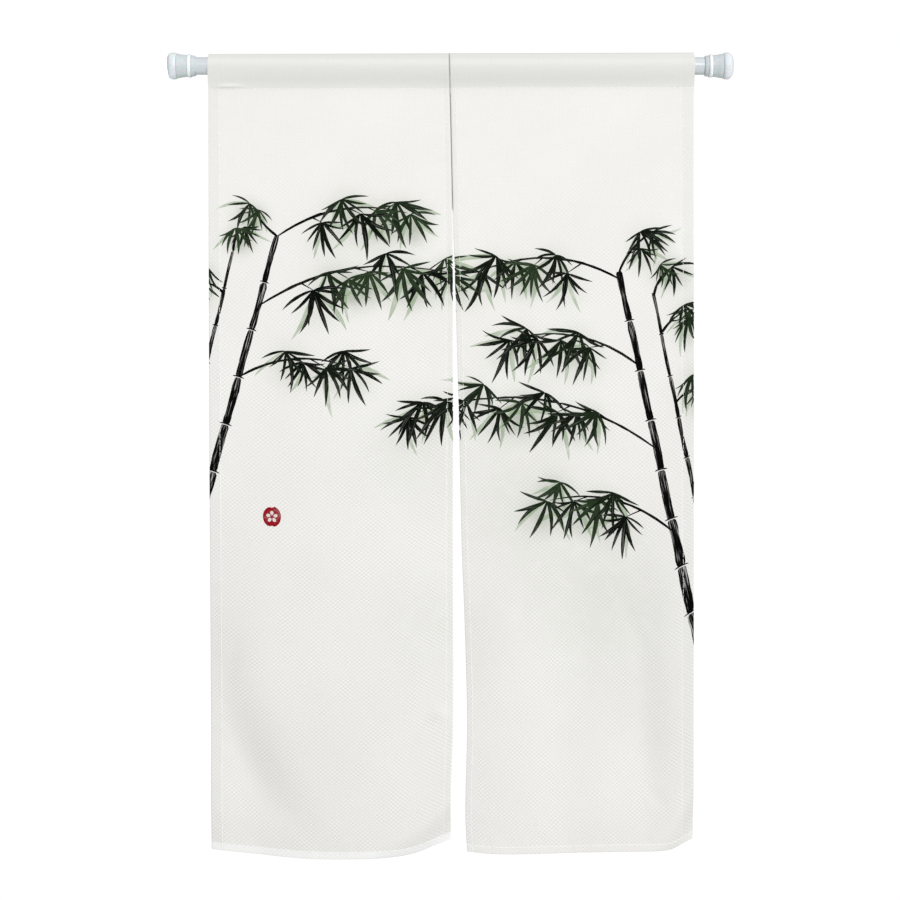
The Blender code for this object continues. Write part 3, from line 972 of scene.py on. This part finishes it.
def cloth_finish(name, panel, back):
    """Linen-look weave with its hems, stitching dents and print, and painted shade and painted light. The
    back shows a ghost of the print.
    """
    made = Finish(name, 0.85, Specular_IOR_Level=0.03)
    flat = made.node("ShaderNodeUVMap", {"uv_map": "cloth"})
    u, v, _ = made.parts(flat)
    width, drop = panel_width(panel) * MM, panel_drop(panel) * MM
    threads, slub, check = hopsack(made, flat, u, v)

    cloud = made.noise(flat, 5.5, 4).rises(0.3, 0.7)
    colour = made.mix(cloud, (0.846, 0.837, 0.806), (0.868, 0.861, 0.831))
    near_left = 1 - u.rises((panel.left_hem - 0.4) * MM, (panel.left_hem + 0.4) * MM)
    near_right = u.rises(width - (panel.right_hem + 0.4) * MM, width - (panel.right_hem - 0.4) * MM)
    near_foot = v.rises(drop - (panel.bottom_hem + 0.4) * MM, drop - (panel.bottom_hem - 0.4) * MM)
    pocket = 1 - v.rises(-18 * MM, 6 * MM)
    lower = v.rises(drop * 0.1, drop * 0.6)
    side_hems = near_left.math("MAXIMUM", near_right) * (1 - near_foot)
    # Painted shade: the side hems are painted greyer, less so over the pocket and lower down, where less
    # light shines through the doubled cloth.
    hem_painted_shade = side_hems * (1 - pocket * 0.7) * (0.62 - lower * 0.3)
    colour = made.mix(hem_painted_shade, colour, (0.80, 0.795, 0.765))
    # Painted light: the bottom hem is painted paler, by each panel's own share.
    colour = made.mix(near_foot * panel.foot_pale, colour, (0.945, 0.945, 0.94))
    # Painted shade: the cloth over the pocket is painted greyer, fading out just below the stitching,
    # where the rod inside keeps the light from behind from shining through.
    colour = made.mix(pocket * 0.66, colour, (0.740, 0.750, 0.715))
    grown = (0.022 + v.rises(0.0, drop * 0.5) * 0.116) * (1 - near_foot * 0.5)
    shade = 1 + check * grown + (slub - 0.5) * 0.14 + (threads - 0.5) * (0.01 + grown * 0.25)
    colour = made.mix(1.0, colour, made.vector(shade, shade, shade), "MULTIPLY")
    hem_dents_and_highlight = 0
    for place, seam in (
        (u, panel.left_hem * MM),
        (u, width - panel.right_hem * MM),
        (v, drop - panel.bottom_hem * MM),
    ):
        hem_dents_and_highlight = hem_dents_and_highlight + (1 - (place - seam).math("ABSOLUTE").rises(0.4 * MM, 1.8 * MM))
    dents = hem_dents_and_highlight + (1 - (v - 0.6 * MM).math("ABSOLUTE").rises(0.4 * MM, 1.8 * MM))
    # Painted highlight: the cloth along the hem seams is painted lighter, more so lower down, where the
    # puckered ridges catch the light.
    colour = made.mix(hem_dents_and_highlight * (1 - pocket) * (0.1 + lower * 0.4), colour, (0.94, 0.94, 0.925))
    from_slit = width - u if panel.node == "panel_left" else u
    above_slit = 1 - v.rises((SLIT_START - 6) * MM, SLIT_START * MM)
    closed = (1 - from_slit.rises(0.5 * MM, 1.7 * MM)) * above_slit
    # Painted shade: a dark line is painted along the slit's closed stretch, where the groove between the
    # butted panels lies in shade.
    colour = made.mix(closed * 0.54, colour, (0.13, 0.13, 0.125))

    through = GHOST if back else 1.0
    colour, depth = printed(made, flat, colour, threads, through)
    made.set("Base Color", colour)
    made.set("Roughness", 0.88 - depth * 0.16 * through)
    made.bump(threads * 0.5 + slub * 0.35 - dents * 0.7, 0.22 * MM, 0.8)
    return made


def hang_panel(panel, strokes, washes):
    """One printed panel, hung, thickened towards its back, and more so in its hems."""
    piece = weave_panel(panel, strokes, washes)
    piece.data.materials.append(cloth_finish(f"{panel.name} front", panel, back=False).material)
    piece.data.materials.append(cloth_finish(f"{panel.name} back", panel, back=True).material)
    solid = piece.modifiers.new("thickness", "SOLIDIFY")
    solid.thickness = HEM_THICKNESS
    solid.offset = -1.0
    solid.vertex_group = "hems"
    solid.thickness_vertex_group = CLOTH_THICKNESS / HEM_THICKNESS
    solid.material_offset = 1
    thick = bpy.data.meshes.new_from_object(piece.evaluated_get(bpy.context.evaluated_depsgraph_get()))
    piece.modifiers.remove(solid)
    piece.data = thick
    thick.name = panel.name
    thick.set_sharp_from_angle(angle=math.radians(60))
    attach(piece, "root")
    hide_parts(panel.node)
    return piece


strokes, washes = grove()
for panel in (LEFT_PANEL, RIGHT_PANEL):
    hang_panel(panel, strokes, washes)

# Stitching
# Lockstitch in off-white polyester thread along every hem and across the foot of the pocket.
# It shows on the front and on the back, where the needle pulled the other thread.

PITCH = 10.7 * MM
STITCH_LENGTH = 8.8 * MM
THREAD = 0.75 * MM
LIFT = 0.12 * MM
SEAM_INSET = 1.2
SEAM_START = 6.0
SEAM_END = 5.0
SEAM_STEP = 4.0
POCKET_SEAM = 0.9
STITCH_SEED = 5


def thread_finish():
    """Spun polyester thread: bright, with the twist of its plies."""
    made = Finish("sewing thread", 0.6, Sheen_Weight=0.4, Sheen_Roughness=0.4)
    place = made.place()
    x, _, z = made.parts(place)
    twist = ((x + z) * 9000).math("SINE")
    tone = made.noise(place, 60, 2)
    made.set("Base Color", made.mix(tone, (0.965, 0.962, 0.945), (0.935, 0.932, 0.915)))
    made.set("Roughness", 0.55 + twist * 0.08)
    made.bump(twist, 0.03 * MM)
    return made


def stitch_tree():
    """Lays one stitch after another along each line, a little unevenly."""
    tree = bpy.data.node_groups.new("stitches", "GeometryNodeTree")
    for name, kind in (
        ("Lines", "Geometry"),
        ("Pitch", "Float"),
        ("Length", "Float"),
        ("Thread", "Float"),
        ("Facing", "Vector"),
        ("Seed", "Int"),
        ("Material", "Material"),
    ):
        tree.interface.new_socket(name, in_out="INPUT", socket_type=f"NodeSocket{kind}")
    tree.interface.new_socket("Stitches", in_out="OUTPUT", socket_type="NodeSocketGeometry")

    def add(kind, sockets, **settings):
        made = tree.nodes.new(kind)
        for key, value in settings.items():
            setattr(made, key, value)
        for key, value in sockets.items():
            if isinstance(value, bpy.types.NodeSocket):
                tree.links.new(value, made.inputs[key])
            else:
                made.inputs[key].default_value = value
        return made.outputs

    given = tree.nodes.new("NodeGroupInput").outputs
    half = add("ShaderNodeMath", {0: given["Length"], 1: 0.5}, operation="MULTIPLY")["Value"]
    low = add("ShaderNodeMath", {0: given["Thread"], 1: -0.6}, operation="MULTIPLY")["Value"]
    radius = add("ShaderNodeMath", {0: given["Thread"], 1: 0.5}, operation="MULTIPLY")["Value"]
    end = add("ShaderNodeCombineXYZ", {"X": half, "Z": low})["Vector"]
    start = add("ShaderNodeVectorMath", {0: end, 1: (-1, 1, 1)}, operation="MULTIPLY")["Vector"]
    top = add("ShaderNodeCombineXYZ", {"Z": given["Thread"]})["Vector"]
    points = {"Resolution": 6, "Start": start, "Middle": top, "End": end}
    path = add("GeometryNodeCurveQuadraticBezier", points)["Curve"]
    section = add("GeometryNodeCurvePrimitiveCircle", {"Resolution": 6, "Radius": radius})["Curve"]
    swept = {"Curve": path, "Profile Curve": section, "Fill Caps": True}
    stitch = add("GeometryNodeCurveToMesh", swept)["Mesh"]

    line = {"Curve": given["Lines"], "Length": given["Pitch"]}
    along = add("GeometryNodeCurveToPoints", line, mode="LENGTH")
    facing = add(
        "FunctionNodeAxesToRotation",
        {"Primary Axis": along["Tangent"], "Secondary Axis": given["Facing"]},
        primary_axis="X",
        secondary_axis="Z",
    )["Rotation"]
    tilt = add(
        "FunctionNodeRandomValue",
        {"Min": (-0.02, -0.05, -0.07), "Max": (0.02, 0.05, 0.07), "Seed": given["Seed"]},
        data_type="FLOAT_VECTOR",
    )["Value"]
    uneven = add("FunctionNodeEulerToRotation", {"Euler": tilt})["Rotation"]
    turns = {"Rotation": facing, "Rotate By": uneven}
    turn = add("FunctionNodeRotateRotation", turns, rotation_space="LOCAL")["Rotation"]
    row = {"Points": along["Points"], "Instance": stitch, "Rotation": turn}
    laid = add("GeometryNodeInstanceOnPoints", row)["Instances"]
    real = add("GeometryNodeRealizeInstances", {"Geometry": laid})["Geometry"]
    sewn = {"Geometry": real, "Material": given["Material"]}
    finished = add("GeometryNodeSetMaterial", sewn)["Geometry"]
    tree.links.new(finished, tree.nodes.new("NodeGroupOutput").inputs["Stitches"])
    return tree


def seam_lines(panel):
    """The hems' seams as rows of places on the panel's flat cut, and last the pocket's seam."""
    width, drop = panel_width(panel), panel_drop(panel)
    inner, outer, foot = panel.left_hem, width - panel.right_hem, drop - panel.bottom_hem
    down = np.arange(SEAM_START, drop - SEAM_END, SEAM_STEP)
    over = np.arange(SEAM_START, width - SEAM_END, SEAM_STEP)
    yield "hem", np.full_like(down, inner - SEAM_INSET), down
    yield "hem", np.full_like(down, outer + SEAM_INSET), down
    yield "hem", over, np.full_like(over, foot + SEAM_INSET)
    yield "pocket", over, np.full_like(over, POCKET_SEAM)


def sew(panel, tree, finish, back):
    """The stitches on one side of a panel. At the back, the pocket's seam lies on its flap."""
    lines = bpy.data.curves.new(f"{panel.name}_seams", "CURVE")
    lines.dimensions = "3D"
    for seam, u, v in seam_lines(panel):
        if back and seam == "pocket":
            points = hang(panel, u, v - POCKET + FLAP) + (0, LIFT, 0)
        elif back:
            points = hang(panel, u, v) + (0, HEM_THICKNESS + LIFT, 0)
        else:
            points = hang(panel, u, v) - (0, LIFT, 0)
        spline = lines.splines.new("POLY")
        spline.points.add(len(points) - 1)
        spline.points.foreach_set("co", np.c_[points, np.ones(len(points))].astype(np.float32).ravel())
    guide = placed(lines.name, lines)
    sewing = guide.modifiers.new("sewing", "NODES")
    sewing.node_group = tree
    values = {
        "Pitch": PITCH,
        "Length": STITCH_LENGTH,
        "Thread": THREAD,
        "Facing": (0.0, 1.0 if back else -1.0, 0.0),
        "Seed": STITCH_SEED,
        "Material": finish.material,
    }
    for item in tree.interface.items_tree:
        if item.name in values and item.in_out == "INPUT":
            sewing[item.identifier] = values[item.name]
    mesh = bpy.data.meshes.new_from_object(guide.evaluated_get(bpy.context.evaluated_depsgraph_get()))
    bpy.data.objects.remove(guide)
    mesh.shade_smooth()
    side = "back" if back else "front"
    piece = placed(f"stitching_{panel.node}_{side}", mesh)
    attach(piece, "root")
    return piece


thread = thread_finish()
tree = stitch_tree()
for panel in (LEFT_PANEL, RIGHT_PANEL):
    seams = [sew(panel, tree, thread, back) for back in (False, True)]

# Studio
# A plain pale floor well below the hem and a white surround, seen from straight in front as in the
# photo. The main light comes from the right, with a soft one in front, small ones round the rod's
# ends, and one from behind for the cloth's back.

VIEW_DISTANCE = 3.2
VIEW_CENTRE = (0.504, -0.684)
VIEW_HEIGHT = 1.6033
SENSOR = 36.0
FLOOR = -3.0
FLOOR_RADIUS = 2.1
SURROUND_SEEN = 1.02
SURROUND_LIGHT = 0.28
END_LIGHT_SIZE = (0.14, 0.14)


def soft_light(name, place, target, size, power):
    """A panel light at a place, turned to its target."""
    lamp = bpy.data.lights.new(name, "AREA")
    lamp.shape = "RECTANGLE"
    lamp.size, lamp.size_y = size
    lamp.energy = power
    made = placed(name, lamp)
    made.location = place
    made.rotation_euler = (Vector(target) - Vector(place)).to_track_quat("-Z", "Y").to_euler()


def far_light(name, direction, energy):
    """Soft light from far away, shining along a direction."""
    lamp = bpy.data.lights.new(name, "SUN")
    lamp.energy = energy
    lamp.angle = math.radians(14)
    made = placed(name, lamp)
    made.rotation_euler = Vector(direction).to_track_quat("-Z", "Y").to_euler()


floor_mesh = bpy.data.meshes.new("floor")
ground = bmesh.new()
bmesh.ops.create_circle(ground, cap_ends=True, segments=96, radius=FLOOR_RADIUS)
ground.to_mesh(floor_mesh)
ground.free()
floor = placed("floor", floor_mesh)
floor.location = (VIEW_CENTRE[0], 0, FLOOR)
floor_finish = Finish("pale floor", 0.9)
floor_finish.set("Base Color", (0.85, 0.85, 0.85))
floor_mesh.materials.append(floor_finish.material)

target = (VIEW_CENTRE[0], 0, VIEW_CENTRE[1])
soft_light("front light", (VIEW_CENTRE[0] + 0.2, -3.4, 0.9), target, (1.8, 1.2), 50)
for side, x, inward in (("left", -0.12, 0.02), ("right", 1.128, 0.988)):
    rod_end = (inward, 0.0, 0.0)
    soft_light(f"{side} end light below", (x, 0.04, -0.28), rod_end, END_LIGHT_SIZE, 0.38)
    soft_light(f"{side} end light above", (x, 0.04, 0.3), rod_end, END_LIGHT_SIZE, 0.13)
far_light("key light", (-0.53, 0.78, -0.315), 1.62)
far_light("back light", (0.55, -0.82, -0.13), 2.2)

world = bpy.data.worlds.new("white surround")
bpy.context.scene.world = world
world.use_nodes = True
sky, rays = world.node_tree.nodes["Background"], world.node_tree.nodes.new("ShaderNodeLightPath")
strength = world.node_tree.nodes.new("ShaderNodeMath")
strength.operation = "MULTIPLY_ADD"
strength.inputs[1].default_value = SURROUND_SEEN - SURROUND_LIGHT
strength.inputs[2].default_value = SURROUND_LIGHT
world.node_tree.links.new(rays.outputs["Is Camera Ray"], strength.inputs[0])
world.node_tree.links.new(strength.outputs[0], sky.inputs["Strength"])
sky.inputs["Color"].default_value = (1, 1, 1, 1)

camera_data = bpy.data.cameras.new("camera")
camera_data.sensor_width = SENSOR
camera_data.lens = SENSOR * VIEW_DISTANCE / VIEW_HEIGHT
camera = placed("camera", camera_data)
camera.location = (VIEW_CENTRE[0], -VIEW_DISTANCE, VIEW_CENTRE[1])
camera.rotation_euler = (math.pi / 2, 0, 0)
bpy.context.scene.camera = camera
bpy.context.scene.view_settings.view_transform = "Standard"
